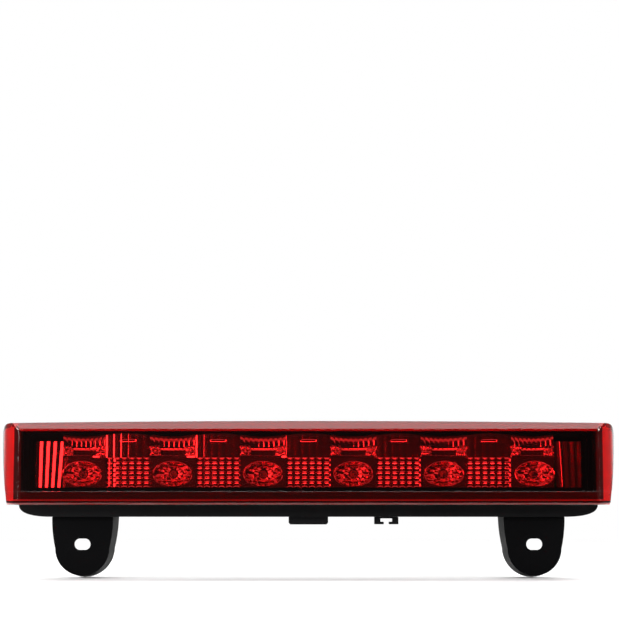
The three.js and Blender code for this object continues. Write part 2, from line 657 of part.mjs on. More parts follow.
[-1, 1].forEach((side) => {
  const x = (side * BRACKET_SPACING) / 2;
  const plateBackY = BRACKET_WALL - BRACKET_DEPTH;
  const keep = box(x - BRACKET_WIDTH, x + BRACKET_WIDTH, -BRACKET_DEPTH - 1, 0, bracketBottom - BRACKET_DROP,
    bracketTop);
  const dish = drafted(bracketOutline(x, 0), x).intersect(keep);
  const inside = alongY(bracketOutline(x, BRACKET_WALL), plateBackY, 1, 10);
  const tongueFront = backFace + GAP;
  const tongue = box(x - TONGUE_WIDTH / 2, x + TONGUE_WIDTH / 2, tongueFront, 0,
    bracketTop - BRACKET_WALL - 1, tubBottom + TONGUE_HEIGHT);
  const slot = rounded(x - SLOT_LENGTH / 2, x + SLOT_LENGTH / 2, slotZ - SLOT_WIDTH / 2,
    slotZ + SLOT_WIDTH / 2, SLOT_WIDTH / 2 - PANEL_LAP);
  const holes = [-1, 1].map((half) => x + (half * BRACKET_SCREW_PITCH) / 2);
  const bracket = cut(
    union(dish.subtract(inside), tongue),
    alongY(slot, -BRACKET_DEPTH - 1, plateBackY + 1),
    ...holes.map((at) => rodY(pilot, at, bracketScrewZ, tongueFront - 1, 1)),
    ...holes.map((at) => rodY(SCREW_HEAD + RUNNING, at, bracketScrewZ, -SCREW_SINK, 1)),
  );
  piece(side < 0 ? 'bracket_left' : 'bracket_right', bracket, 0x0b0b0c, 0.4);
});

bracketScrews.forEach((x, index) => {
  const head = screw(x, bracketScrewZ, GAP - SCREW_SINK, -1);
  piece(`bracket_screw_${index + 1}`, head, 0xb8b8b4, 0.35, 1);
});

// Foam gasket and breather on the back
const gasketFront = backFace + GAP;
const gasketHalf = GASKET_LENGTH / 2;
const gasket = cut(
  alongY(rounded(-gasketHalf, gasketHalf, -GASKET_HEIGHT / 2, GASKET_HEIGHT / 2, GASKET_CORNER),
    gasketFront, 0),
  alongY(rounded(GASKET_BAND - gasketHalf, gasketHalf - GASKET_BAND, GASKET_BAND - GASKET_HEIGHT / 2,
    GASKET_HEIGHT / 2 - GASKET_BAND, GASKET_CORNER / 2), gasketFront - 1, 1),
);
piece('rear_gasket', gasket, 0x26262a, 0.95);

const capFace = gasketFront + BREATHER_HEIGHT;
const breather = turned([
  [0, backInside - BREATHER_INSIDE],
  [BREATHER_STEM, backInside - BREATHER_INSIDE],
  [BREATHER_STEM, gasketFront],
  [BREATHER_RADIUS, gasketFront],
  [BREATHER_RADIUS, capFace - BREATHER_EDGE_DEPTH],
  [BREATHER_RADIUS - BREATHER_EDGE, capFace],
  [0, capFace],
], BREATHER_PLACE, 0, 20);
piece('breather_cap', breather, 0x18181a, 0.7);

export default lamp;
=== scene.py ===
"""A vehicle's high-mounted stop lamp, built round its CAD frame as a Blender add-on.

Every size typed here is in millimetres. Blender's own units are metres, and mm() turns one into
the other.
"""

import math

import bmesh
import bpy
from mathutils import Matrix, Vector


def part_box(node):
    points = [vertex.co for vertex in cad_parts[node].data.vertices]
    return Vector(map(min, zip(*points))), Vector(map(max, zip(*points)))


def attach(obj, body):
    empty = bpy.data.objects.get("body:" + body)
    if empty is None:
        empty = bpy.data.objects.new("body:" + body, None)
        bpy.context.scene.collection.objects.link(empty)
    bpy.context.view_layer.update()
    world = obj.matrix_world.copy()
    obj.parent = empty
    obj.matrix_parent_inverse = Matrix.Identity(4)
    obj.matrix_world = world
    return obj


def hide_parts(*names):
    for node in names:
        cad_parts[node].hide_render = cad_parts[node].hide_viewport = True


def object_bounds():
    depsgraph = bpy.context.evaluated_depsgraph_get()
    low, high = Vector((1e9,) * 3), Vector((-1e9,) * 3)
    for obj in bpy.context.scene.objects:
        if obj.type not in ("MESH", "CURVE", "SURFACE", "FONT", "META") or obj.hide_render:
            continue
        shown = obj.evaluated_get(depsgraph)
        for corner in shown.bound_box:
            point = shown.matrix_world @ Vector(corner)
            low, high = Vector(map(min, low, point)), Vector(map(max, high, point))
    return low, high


bl_info = {
    "name": "High-mounted stop lamp",
    "version": (1, 0, 0),
    "blender": (4, 5, 0),
    "location": "View3D > Sidebar > Stop lamp",
    "description": "Builds a red LED stop lamp with its lens, reflector, housing and brackets",
    "category": "Add Mesh",
}

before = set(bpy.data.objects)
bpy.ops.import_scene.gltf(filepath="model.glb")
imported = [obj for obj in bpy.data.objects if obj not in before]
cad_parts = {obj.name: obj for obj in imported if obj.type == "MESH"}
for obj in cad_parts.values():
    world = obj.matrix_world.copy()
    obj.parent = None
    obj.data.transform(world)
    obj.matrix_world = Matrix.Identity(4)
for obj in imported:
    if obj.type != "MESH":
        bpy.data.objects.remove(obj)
CAD_BOX = [list(corner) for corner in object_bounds()]
BODY = "root"
LED_NODES = sorted(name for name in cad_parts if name.startswith("led_"))


def mm(value):
    """Millimetres to metres."""
    return value / 1000


def box_mm(name):
    """A CAD node's lowest and highest corners in millimetres."""
    low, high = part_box(name)
    return Vector(low) * 1000, Vector(high) * 1000


def middle_mm(name):
    """The middle of a CAD node's box in millimetres."""
    low, high = box_mm(name)
    return (low + high) / 2


# ---------------------------------------------------------------------------------------------
# Sizes and colours that a user may change


def size(name, description, default):
    """A property for a size in millimetres."""
    return bpy.props.FloatProperty(name=name, description=description, default=default, min=0)


def count(name, description, default):
    """A property for a whole number."""
    return bpy.props.IntProperty(name=name, description=description, default=default, min=1)


def srgb(hex_colour):
    """An sRGB hex colour such as "#b01018" as linear red, green and blue."""
    channels = [int(hex_colour[i : i + 2], 16) / 255 for i in (1, 3, 5)]
    return tuple(c / 12.92 if c <= 0.04045 else ((c + 0.055) / 1.055) ** 2.4 for c in channels)


def colour(name, description, default):
    """A property for a colour, given as sRGB hex."""
    return bpy.props.FloatVectorProperty(
        name=name, description=description, subtype="COLOR", size=3, min=0, max=1, default=srgb(default)
    )


class LensSizes(bpy.types.PropertyGroup):
    """The lens's moulded shape, in millimetres."""

    wall: size("Wall", "Thickness of the acrylic", 2.5)
    end_wall: size("End wall", "Thickness of the acrylic where the ends wrap back", 4.0)
    top_wall: size("Top wall", "Thickness of the acrylic along the top", 2.8)
    face: size("Flat face", "Length of the flat front between the wrapped ends", 402.0)
    crown: size("Crown", "Fall of the top edge towards each end", 1.5)
    taper: size("Taper", "How much each end leans in towards the bottom", 5.5)
    corner: size("Top corner", "Size of the top corners seen from in front", 8.0)
    chamfer_height: size("Chamfer height", "Height of the top chamfer", 5.8)
    chamfer_depth: size("Chamfer depth", "Depth of the top chamfer", 7.0)
    band_height: size("Band height", "Height of the band below the window", 9.3)
    band_step: size("Band step", "How far the band is set back", 0.12)
    band_run: size("Band run", "Height over which the face steps back to the band", 0.3)
    lip: size("Lip", "Chamfer along the bottom lip", 1.2)
    edge: size("Edge radius", "Radius along the moulded edges", 0.7)


class ReflectorSizes(bpy.types.PropertyGroup):
    """The metallised reflector's optics, in millimetres."""

    land: size("Land", "How far the bowls' flat land lies behind the front edge", 4.0)
    step: size("Step", "How far the pillows and the end panels lie behind the land", 5.0)
    prism_width: size("Prism width", "Width of a prism panel between two bowls", 31.0)
    flutes: count("Flutes", "Flutes across a prism panel", 6)
    flute_depth: size("Flute depth", "Depth of a prism panel's flutes", 0.24)
    rows: count("Pillow rows", "Rows of pillows on a lower prism panel", 6)
    pillow_depth: size("Pillow depth", "How far each pillow swells", 0.15)
    bulge: size("Bulge", "How far a prism panel stands out at its middle", 1.2)
    bowl_width: size("Bowl width", "Width of a bowl's rim", 26.0)
    bowl_height: size("Bowl height", "Height of a bowl's rim", 17.0)
    bowl_depth: size("Bowl depth", "Depth of a bowl from its rim to the LED's hole", 8.5)
    bowl_hole: size("Bowl hole", "Radius of the hole that the LED comes through", 3.4)
    rim: size("Rim", "Width of the rounded rim round a bowl", 0.9)
    petals: count("Petals", "Facets round a bowl", 12)
    petal_depth: size("Petal depth", "How far a bowl's facets dip", 0.9)
    end_flutes: count("End flutes", "Flutes on the panel at each end", 4)
    end_flute_depth: size("End flute depth", "Depth of an end panel's flutes", 0.84)
    end_rise: size("End rise", "How far an end panel comes forward towards the lamp's end", 4.0)
    end_cell: size("End cell", "Outer half of the first and the last bowl's panel", 13.6)
    end_drop: size("End drop", "How far the end panels stop under the top", 5.6)


class LampColours(bpy.types.PropertyGroup):
    """The lamp's colours."""

    lens: colour("Lens", "What a millimetre of the red acrylic lets through", "#f98685")
    metal: colour("Metallised", "Vacuum-metallised reflector", "#e6e6ea")
    plastic: colour("Black plastic", "Housing and brackets", "#050506")
    board: colour("Solder mask", "Circuit board", "#12492a")


# ---------------------------------------------------------------------------------------------
# Node and material helpers


def add_node(tree, kind, settings=None, **inputs):
    """Adds a node, sets its own settings, and sets or links its inputs by name."""
    node = tree.nodes.new(kind)
    for key, value in (settings or {}).items():
        setattr(node, key, value)
    for key, value in inputs.items():
        socket = node.inputs[int(key[1:])] if key[0] == "_" else node.inputs[key.replace("_", " ")]
        if isinstance(value, bpy.types.NodeSocket):
            tree.links.new(value, socket)
        else:
            socket.default_value = value
    return node


def new_material(name):
    """An empty node material and its output."""
    material = bpy.data.materials.new(name)
    material.use_nodes = True
    material.node_tree.nodes.clear()
    return material, material.node_tree, add_node(material.node_tree, "ShaderNodeOutputMaterial")


def finish_material(tree, out, shader):
    """Links a shader to the material's surface."""
    tree.links.new(shader.outputs[0], out.inputs["Surface"])


def moulded(name, base, roughness, grain_mm, grain_depth_mm, level=0.35):
    """A moulded plastic: a fine spark-eroded grain, and a gloss that wanders a little."""
    material, tree, out = new_material(name)
    place = add_node(tree, "ShaderNodeTexCoord").outputs["Object"]
    cloud = add_node(tree, "ShaderNodeTexNoise", Vector=place, Scale=1 / mm(18), Detail=3.0)
    gloss = add_node(
        tree, "ShaderNodeMapRange", Value=cloud.outputs["Fac"], To_Min=roughness * 0.75,
        To_Max=roughness * 1.25,
    )
    shade = add_node(
        tree, "ShaderNodeMix", {"data_type": "RGBA"}, Factor=cloud.outputs["Fac"],
        _6=(*[c * 0.8 for c in base], 1), _7=(*[min(c * 1.25, 1) for c in base], 1),
    )
    grain = add_node(tree, "ShaderNodeTexNoise", Vector=place, Scale=1 / mm(grain_mm), Detail=2.0)
    bump = add_node(
        tree, "ShaderNodeBump", Strength=0.6, Distance=mm(grain_depth_mm), Height=grain.outputs["Fac"]
    )
    shader = add_node(
        tree, "ShaderNodeBsdfPrincipled", Base_Color=shade.outputs[2], Roughness=gloss.outputs[0],
        IOR=1.5, Specular_IOR_Level=level, Normal=bump.outputs[0],
    )
    finish_material(tree, out, shader)
    return material


def red_acrylic(colours):
    """Injection-moulded PMMA: glassy, and red by depth, so thin walls glow and edges go dark."""
    material, tree, out = new_material("red_moulded_acrylic")
    shader = add_node(
        tree, "ShaderNodeBsdfPrincipled", Base_Color=(*srgb("#ffe1e1"), 1), Roughness=0.0,
        IOR=1.49, Transmission_Weight=1.0,
    )
    finish_material(tree, out, shader)
    depth = add_node(tree, "ShaderNodeVolumeAbsorption", Color=(*colours.lens, 1), Density=1000.0)
    tree.links.new(depth.outputs[0], out.inputs["Volume"])
    return material


def frosted_and_painted_shade(name, dark, light, glow, through_share):
    """A matt sheet on the inside of the lens round its clear window. With light colours it is the
    frost finish that scatters what falls on it, so the top, the foot and the ends show an even red;
    with dark colours it is painted shade, a dark maroon sheet where the lens is in shade."""
    material, tree, out = new_material(name)
    place = add_node(tree, "ShaderNodeTexCoord").outputs["Object"]
    frost = add_node(tree, "ShaderNodeTexNoise", Vector=place, Scale=1 / mm(1.2), Detail=3.0)
    shade = add_node(
        tree, "ShaderNodeMix", {"data_type": "RGBA"}, Factor=frost.outputs["Fac"],
        _6=(*srgb(dark), 1), _7=(*srgb(light), 1),
    )
    face = add_node(tree, "ShaderNodeBsdfDiffuse", Color=shade.outputs[2])
    through = add_node(tree, "ShaderNodeBsdfTranslucent", Color=(*srgb(glow), 1))
    mixed = add_node(
        tree, "ShaderNodeMixShader", _0=through_share, _1=face.outputs[0], _2=through.outputs[0]
    )
    finish_material(tree, out, mixed)
    return material


def metallised(colours):
    """Vacuum-metallised plastic: a bright mirror with a faint orange peel from the moulding."""
    material, tree, out = new_material("vacuum_metallised_plastic")
    place = add_node(tree, "ShaderNodeTexCoord").outputs["Object"]
    peel = add_node(tree, "ShaderNodeTexNoise", Vector=place, Scale=1 / mm(2.5), Detail=2.0)
    bump = add_node(
        tree, "ShaderNodeBump", Strength=0.5, Distance=mm(0.02), Height=peel.outputs["Fac"]
    )
    haze = add_node(
        tree, "ShaderNodeMapRange", Value=peel.outputs["Fac"], To_Min=0.03, To_Max=0.09
    )
    shader = add_node(
        tree, "ShaderNodeBsdfPrincipled", Base_Color=(*colours.metal, 1), Metallic=1.0,
        Roughness=haze.outputs[0], Normal=bump.outputs[0],
    )
    finish_material(tree, out, shader)
    return material


def plated(name, base, roughness, wear_mm):
    """A plated metal: a soft mirror whose gloss wanders in small patches."""
    material, tree, out = new_material(name)
    place = add_node(tree, "ShaderNodeTexCoord").outputs["Object"]
    wear = add_node(tree, "ShaderNodeTexNoise", Vector=place, Scale=1 / mm(wear_mm), Detail=3.0)
    gloss = add_node(
        tree, "ShaderNodeMapRange", Value=wear.outputs["Fac"], To_Min=roughness * 0.6,
        To_Max=roughness * 1.5,
    )
    shader = add_node(
        tree, "ShaderNodeBsdfPrincipled", Base_Color=(*srgb(base), 1), Metallic=1.0,
        Roughness=gloss.outputs[0],
    )
    finish_material(tree, out, shader)
    return material


def clear_epoxy():
    """An LED's cast epoxy: clear with a red tint, and slightly soft where the mould was polished."""
    material, tree, out = new_material("cast_led_epoxy")
    place = add_node(tree, "ShaderNodeTexCoord").outputs["Object"]
    swirl = add_node(tree, "ShaderNodeTexNoise", Vector=place, Scale=1 / mm(1.5), Detail=1.0)
    gloss = add_node(
        tree, "ShaderNodeMapRange", Value=swirl.outputs["Fac"], To_Min=0.01, To_Max=0.06
    )
    shader = add_node(
        tree, "ShaderNodeBsdfPrincipled", Base_Color=(*srgb("#ffb0a8"), 1), Roughness=gloss.outputs[0],
        IOR=1.51, Transmission_Weight=1.0,
    )
    finish_material(tree, out, shader)
    return material


def solder_mask(base):
    """Green solder mask: glossy, with the copper tracks under it standing out a shade lighter."""
    material, tree, out = new_material("green_solder_mask")
    place = add_node(tree, "ShaderNodeTexCoord").outputs["Object"]
    tracks = add_node(
        tree, "ShaderNodeTexVoronoi", {"feature": "DISTANCE_TO_EDGE", "distance": "EUCLIDEAN"},
        Vector=place, Scale=1 / mm(9),
    )
    track = add_node(
        tree, "ShaderNodeMapRange", Value=tracks.outputs["Distance"], From_Min=0.06, From_Max=0.08,
        To_Min=1.0, To_Max=0.0,
    )
    shade = add_node(
        tree, "ShaderNodeMix", {"data_type": "RGBA"}, Factor=track.outputs[0],
        _6=(*base, 1), _7=(*[min(c * 2.0, 1) for c in base], 1),
    )
    raised = add_node(
        tree, "ShaderNodeBump", Strength=0.5, Distance=mm(0.03), Height=track.outputs[0]
    )
    shader = add_node(
        tree, "ShaderNodeBsdfPrincipled", Base_Color=shade.outputs[2], Roughness=0.25,
        Normal=raised.outputs[0],
    )
    finish_material(tree, out, shader)
    return material


# ---------------------------------------------------------------------------------------------
# Mesh helpers

SAME_POINT = 0.002  # points closer than this are one
TINY = 1e-6
SHARPEST_BEND = 0.001  # keeps a doubled-back corner's arc finite
ARC_SHARE = 0.45  # an arc takes at most this much of each side of its corner


def smooth_object(name, bm, material):
    """An object with smooth faces, in the scene. material is its first; faces keep their indices."""
    mesh = bpy.data.meshes.new(name)
    bm.to_mesh(mesh)
    bm.free()
    for face in mesh.polygons:
        face.use_smooth = True
    mesh.materials.append(material)
    obj = bpy.data.objects.new(name, mesh)
    bpy.context.scene.collection.objects.link(obj)
    return obj


def stand_for(obj, node):
    """Keeps an object's flat faces flat, and lets it stand for a CAD node."""
    flats = obj.modifiers.new("flat faces stay flat", "WEIGHTED_NORMAL")
    flats.keep_sharp = True
    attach(obj, BODY)
    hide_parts(node)


def make_object(name, bm, material, node, angle=35):
    """Turns a bmesh in millimetres into an object that stands for a CAD node. Edges that turn by
    more than angle stay sharp."""
    bmesh.ops.remove_doubles(bm, verts=bm.verts, dist=SAME_POINT)
    bmesh.ops.recalc_face_normals(bm, faces=bm.faces)
    bmesh.ops.scale(bm, vec=(mm(1), mm(1), mm(1)), verts=bm.verts)
    obj = smooth_object(name, bm, material)
    obj.data.set_sharp_from_angle(angle=math.radians(angle))
    stand_for(obj, node)
    return obj


def add_grid(bm, rows):
    """Joins rows of points into quads."""
    made = [[bm.verts.new(point) for point in row] for row in rows]
    for low, high in zip(made, made[1:]):
        for i in range(len(low) - 1):
            bm.faces.new([low[i], low[i + 1], high[i + 1], high[i]])
    return made


def turn(bm, profile, x, z, segments, material_index):
    """A closed turned body about the Y axis at x, z: each profile point is a radius and a Y."""
    loops = []
    for radius, y in profile:
        if radius < TINY:
            loops.append([bm.verts.new((x, y, z))])
            continue
        angles = [math.tau * k / segments for k in range(segments)]
        loops.append([
            bm.verts.new((x + radius * math.cos(t), y, z + radius * math.sin(t))) for t in angles
        ])
    for first, second in zip(loops, loops[1:]):
        for i in range(segments):
            j = (i + 1) % segments
            ring = [first[i % len(first)], first[j % len(first)], second[j % len(second)],
                    second[i % len(second)]]
            corners = list(dict.fromkeys(ring))
            bm.faces.new(corners).material_index = material_index


def block_at(bm, middle, sizes, material_index):
    """A small block inside another body."""
    matrix = Matrix.Translation(middle) @ Matrix.Diagonal((*sizes, 1))
    made = bmesh.ops.create_cube(bm, size=1, matrix=matrix)
    for vert in made["verts"]:
        for face in vert.link_faces:
            face.material_index = material_index


def rounded_path(points, radius, steps=4):
    """A path with each inner corner turned into an arc, always with the same number of points."""
    path = [Vector(points[0])]
    for before, at, after in zip(points, points[1:], points[2:]):
        before, at, after = Vector(before), Vector(at), Vector(after)
        back, ahead = before - at, after - at
        if back.length < TINY or ahead.length < TINY:
            path += [at.copy() for _ in range(steps + 1)]
            continue
        bend = max(math.tan(back.angle(ahead) / 2), SHARPEST_BEND)
        reach = min(radius / bend, back.length * ARC_SHARE, ahead.length * ARC_SHARE)
        start, end = at + back.normalized() * reach, at + ahead.normalized() * reach
        for k in range(steps + 1):
            t = k / steps
            path.append(start * (1 - t) ** 2 + at * (2 * t * (1 - t)) + end * t**2)
    path.append(Vector(points[-1]))
    return path


def spread(start, end, parts):
    """parts points from start towards end, without the end."""
    return [start + (end - start) * k / parts for k in range(parts)]


# ---------------------------------------------------------------------------------------------
# Lens

# The last lens material is painted shade: a dark maroon sheet inside the band and the window's ends,
# where the lens sits in shade.
CLEAR, LAND, ENDS, PAINTED_SHADE = range(4)  # the lens's materials
LAND_PAST_FACE = 2.0  # the frosted land runs this far round the ends
SHADE_BORDER_WIDTH = 4.0  # painted shade: a dark border at each end of the clear window
# the painted shade reaches this far above the band
SHADE_BORDER_ABOVE_BAND = 0.5
EDGE_STEPS = 4  # points along a moulded edge's arc
INNER_EDGE_SHARE = 0.6  # the inside's edges are this much tighter
FLAT_STEPS = 24  # stations along the flat face
FLAT_MARGIN = 8.0  # the flat face's stations stop this far from its corner
FACE_CORNER = 2.2  # radius where the face turns into an end
FACE_CORNER_STEPS = 6
SIDE_STEPS = 6  # stations from the face's corner to the top corner
WRAP_STEPS = 22  # stations round the top corner
END_BEND_OUT = 2.0  # how far past the middle of the end its curve is pulled out
END_BEND_BACK = 0.3  # and what share of the depth it is pulled back
END_INSET_SHARE = 0.4  # share of the thicker end wall that the face's inner corner moves in


def lens_sheet(sizes, inset, end_inset, top_inset):
    """One side of the lens as rows of points: each row is a section from the back at the top,
    over the front, to the back at the bottom."""
    low, high = box_mm("outer_lens")
    half, front, back = high.x - end_inset, low.y + inset, high.y
    top, bottom = high.z - top_inset, low.z + inset
    slope = sizes.chamfer_height / sizes.chamfer_depth
    chamfer_low = high.z - sizes.chamfer_height - inset * (math.hypot(1, slope) - slope)
    band_top = low.z + sizes.band_height
    corner = sizes.face / 2 - end_inset * END_INSET_SHARE
    shoulder = top - sizes.crown - sizes.corner

    # The end seen from above is one curve from the face's corner to the back. Its stations crowd
    # towards the end, where the outline seen from in front turns most.
    bend = Vector(((half + corner) / 2 + END_BEND_OUT, front + (back - front) * END_BEND_BACK))
    start, end = Vector((corner, front)), Vector((half, back))
    curve, slope_x = start.x - 2 * bend.x + end.x, 2 * (bend.x - start.x)
    outwards = spread(corner, half - sizes.corner, SIDE_STEPS)
    outwards += [half - sizes.corner * (1 - k / WRAP_STEPS) ** 2 for k in range(WRAP_STEPS + 1)]
    wrap = []
    for x in outwards:
        root = math.sqrt(max(slope_x**2 + 4 * curve * (x - start.x), 0.0))
        t = (root - slope_x) / (2 * curve)
        wrap.append(start * (1 - t) ** 2 + bend * (2 * t * (1 - t)) + end * t**2)
    flat_end = corner - FLAT_MARGIN
    turn_in = [Vector((flat_end, front)), wrap[0], wrap[1]]
    plan = rounded_path(turn_in, FACE_CORNER, FACE_CORNER_STEPS)[:-1] + wrap[1:]
    right = [(p.x, p.y) for p in plan]
    flat = [(x, front) for x in spread(-flat_end, flat_end, FLAT_STEPS)]
    stations = [(-x, y) for x, y in reversed(right)] + flat[1:] + right

    rows = []
    for x, y in stations:
        away = max(half - abs(x), 0.0)
        share = abs(x) / (half - sizes.corner)
        crest = top - sizes.crown * min(share * share, 1)
        if away < sizes.corner:
            crest -= sizes.corner * (1 - math.sqrt(away / sizes.corner)) ** 2
        foot = bottom
        if away < sizes.taper:
            lift = 1 - math.sqrt(away / sizes.taper)
            middle = bottom + (high.z - low.z) / 2
            foot = (1 - lift) ** 2 * bottom + 2 * lift * (1 - lift) * middle + lift**2 * shoulder
            foot = min(foot, crest)
        chamfer_top = min(max(front + (crest - chamfer_low) / slope, y), back)
        chamfer_foot = min(chamfer_low + slope * (y - front), crest)
        step = min(sizes.band_step, back - y)
        band_high = max(min(band_top, chamfer_foot), foot)
        band_low = max(band_high - sizes.band_run, foot)
        lip_z = min(foot + sizes.lip, band_low)
        lip_y = min(y + step + (lip_z - foot), back)
        section = rounded_path(
            [
                (x, back, crest),
                (x, chamfer_top, crest),
                (x, y, chamfer_foot),
                (x, y, band_high),
                (x, y + step, band_low),
                (x, y + step, lip_z),
                (x, lip_y, foot),
                (x, back, foot),
            ],
            sizes.edge * (INNER_EDGE_SHARE if inset else 1),
            EDGE_STEPS,
        )
        rows.append(section)
    return rows


class LAMP_OT_lens(bpy.types.Operator):
    """Mould the red lens as one closed wall"""

    bl_idname = "lamp.lens"
    bl_label = "Lens"

    def execute(self, context):
        sizes = context.scene.lamp_lens
        bm = bmesh.new()
        outer = add_grid(bm, lens_sheet(sizes, 0.0, 0.0, 0.0))
        inner = add_grid(bm, lens_sheet(sizes, sizes.wall, sizes.end_wall, sizes.top_wall))

        inside_points = {vert for row in inner for vert in row}
        inside_faces = [face for face in bm.faces if inside_points.issuperset(face.verts)]
        outer_rim, inner_rim = (
            [row[0] for row in sheet] + [row[-1] for row in reversed(sheet)] for sheet in (outer, inner)
        )
        for i, vert in enumerate(outer_rim):
            j = (i + 1) % len(outer_rim)
            bm.faces.new([vert, outer_rim[j], inner_rim[j], inner_rim[i]])

        low, high = box_mm("outer_lens")
        land_top = high.z - sizes.chamfer_height - sizes.wall
        land_foot = low.z + sizes.wall + sizes.lip
        shade_border_top = low.z + sizes.band_height + SHADE_BORDER_ABOVE_BAND
        for face in inside_faces:
            middle = face.calc_center_median()
            if abs(middle.x) > sizes.face / 2 + LAND_PAST_FACE:
                face.material_index = ENDS
            elif middle.z > land_top or middle.z < land_foot:
                face.material_index = LAND
            # painted shade: the band under the window and the window's ends get the dark maroon sheet
            elif middle.z < shade_border_top or abs(middle.x) > sizes.face / 2 - SHADE_BORDER_WIDTH:
                face.material_index = PAINTED_SHADE
            else:
                face.material_index = CLEAR
        colours = context.scene.lamp_colours
        lens = make_object("moulded_lens", bm, red_acrylic(colours), "outer_lens", angle=50)
        for finish in (
            frosted_and_painted_shade("frosted_land", "#f4505a", "#ff7078", "#ff7a7a", 0.6),
            frosted_and_painted_shade("frosted_ends", "#ff5a50", "#ff6a60", "#ff7a7a", 0.15),
            # painted shade: dark maroon standing in for the shade along the band and the window's ends
            frosted_and_painted_shade("painted_shade_border", "#480c10", "#521014", "#480c10", 0.3),
        ):
            lens.data.materials.append(finish)
        return {"FINISHED"}


# ---------------------------------------------------------------------------------------------
# Reflector


def relief(bm, columns, rows, face, back):
    """A closed block whose front is face(u, v) over u and v from 0 to 1, and whose back is flat."""
    front = [[Vector(face(i / columns, k / rows)) for i in range(columns + 1)] for k in range(rows + 1)]
    made = add_grid(bm, front)
    edge = (
        made[0][:-1]
        + [row[-1] for row in made][:-1]
        + list(reversed(made[-1]))[:-1]
        + [row[0] for row in reversed(made)][:-1]
    )
    behind = [bm.verts.new((v.co.x, back, v.co.z)) for v in edge]
    for i, vert in enumerate(edge):
        j = (i + 1) % len(edge)
        bm.faces.new([vert, behind[i], behind[j], edge[j]])
    bm.faces.new(behind)


def wave(share, cycles):
    """A row of shallow arcs: 1 on each crest, 0 in the valleys."""
    place = (share * cycles) % 1
    return 4 * place * (1 - place)


def ridge(share, cycles):
    """A row of ridges with flat sides: 1 on each crest, 0 in the valleys."""
    return 1 - abs(2 * ((share * cycles) % 1) - 1)


OPTICS_BACK = -34.0  # flat back of the bowls and the panels
OPTICS_SPLIT = 0.0  # height where the upper panels meet the bowls and the pillows
PANEL_CROWN = 1.4  # how far the top of a panel curves from its middle to its sides
BARREL_BULGE = 0.4  # share of the bulge that the upper half of a prism panel has
POCKET_WIDTH = 0.34  # reach of a barrel's leaning pocket, as a share of half the panel's width
POCKET_LOW, POCKET_HIGH, POCKET_LEAN = 0.66, 0.76, 2.4
SHELF_FLUTES = 10  # flutes across a shelf
SHELF_HOLLOW = 2.2  # how far a shelf is dished
SHELF_DROP = 0.7  # how far the top shelf stops under the reflector's top
CORNER_WIDTH = 0.24  # share of a shelf's width that has corner ridges at each side
CORNER_PITCH = 4.2  # three corner ridges fill one part in 4.2 of a shelf's width
CORNER_RIDGE = 0.7  # depth of the corner ridges
CORNER_LOW, CORNER_HIGH = 0.1, 0.52
PANEL_NARROWING = 2.2  # an end panel is this much narrower at its foot
PETAL_FULLNESS = 0.8  # under 1, a petal's dip fills out towards the hole and the rim
HOLE_DEPTH = 2.0  # depth of the LED's hole behind the bowl
BOWL_RINGS = 14  # rings of facets from the hole to the rim
RIM_STEPS = 6  # steps round the rolled rim
PER_PETAL, PER_PILLOW, PER_FLUTE, PER_END_FLUTE = 8, 8, 10, 20  # facets across one of each
BARREL_ROWS, SHELF_ROWS, END_ROWS = 50, 40, 8
SHELF_COLUMNS = 100
FACET_ANGLE = 28  # facets that meet at less than this many degrees shade as one

# The shelves over a bowl, from below: where each starts, how far it is set back there, how much
# it leans back, and how deep its flutes are.
SHELVES = (
    (0.0, -0.4, 0.0, 0.0),
    (0.1, 0.2, 4.4, 0.25),
    (0.42, -0.8, 0.0, 0.0),
    (0.5, 0.4, 3.0, 0.25),
)


def prism_panel(bm, x, sizes, places):
    """The barrel above and the pillows below, between two bowls."""
    half = sizes.prism_width / 2
    land, back, low, split, high = places

    def barrel(u, v):
        across = 2 * u - 1
        rise = sizes.bulge * BARREL_BULGE * (1 - across * across)
        rib = sizes.flute_depth * wave(u, sizes.flutes)
        if abs(across) < POCKET_WIDTH and POCKET_LOW < v < POCKET_HIGH:
            rib -= (v - POCKET_LOW) * POCKET_LEAN
        crest = high - PANEL_CROWN * across * across
        return x + half * across, land - rise - rib, split + (crest - split) * v

    def pillows(u, v):
        across = 2 * u - 1
        rise = sizes.bulge * (1 - across * across)
        swell = sizes.pillow_depth * wave(u, sizes.flutes) * wave(v, sizes.rows)
        return x + half * across, land + sizes.step - rise - swell, low + (split - low) * v

    relief(bm, sizes.flutes * PER_FLUTE, BARREL_ROWS, barrel, back)
    relief(bm, sizes.flutes * PER_PILLOW, sizes.rows * PER_PILLOW, pillows, back)


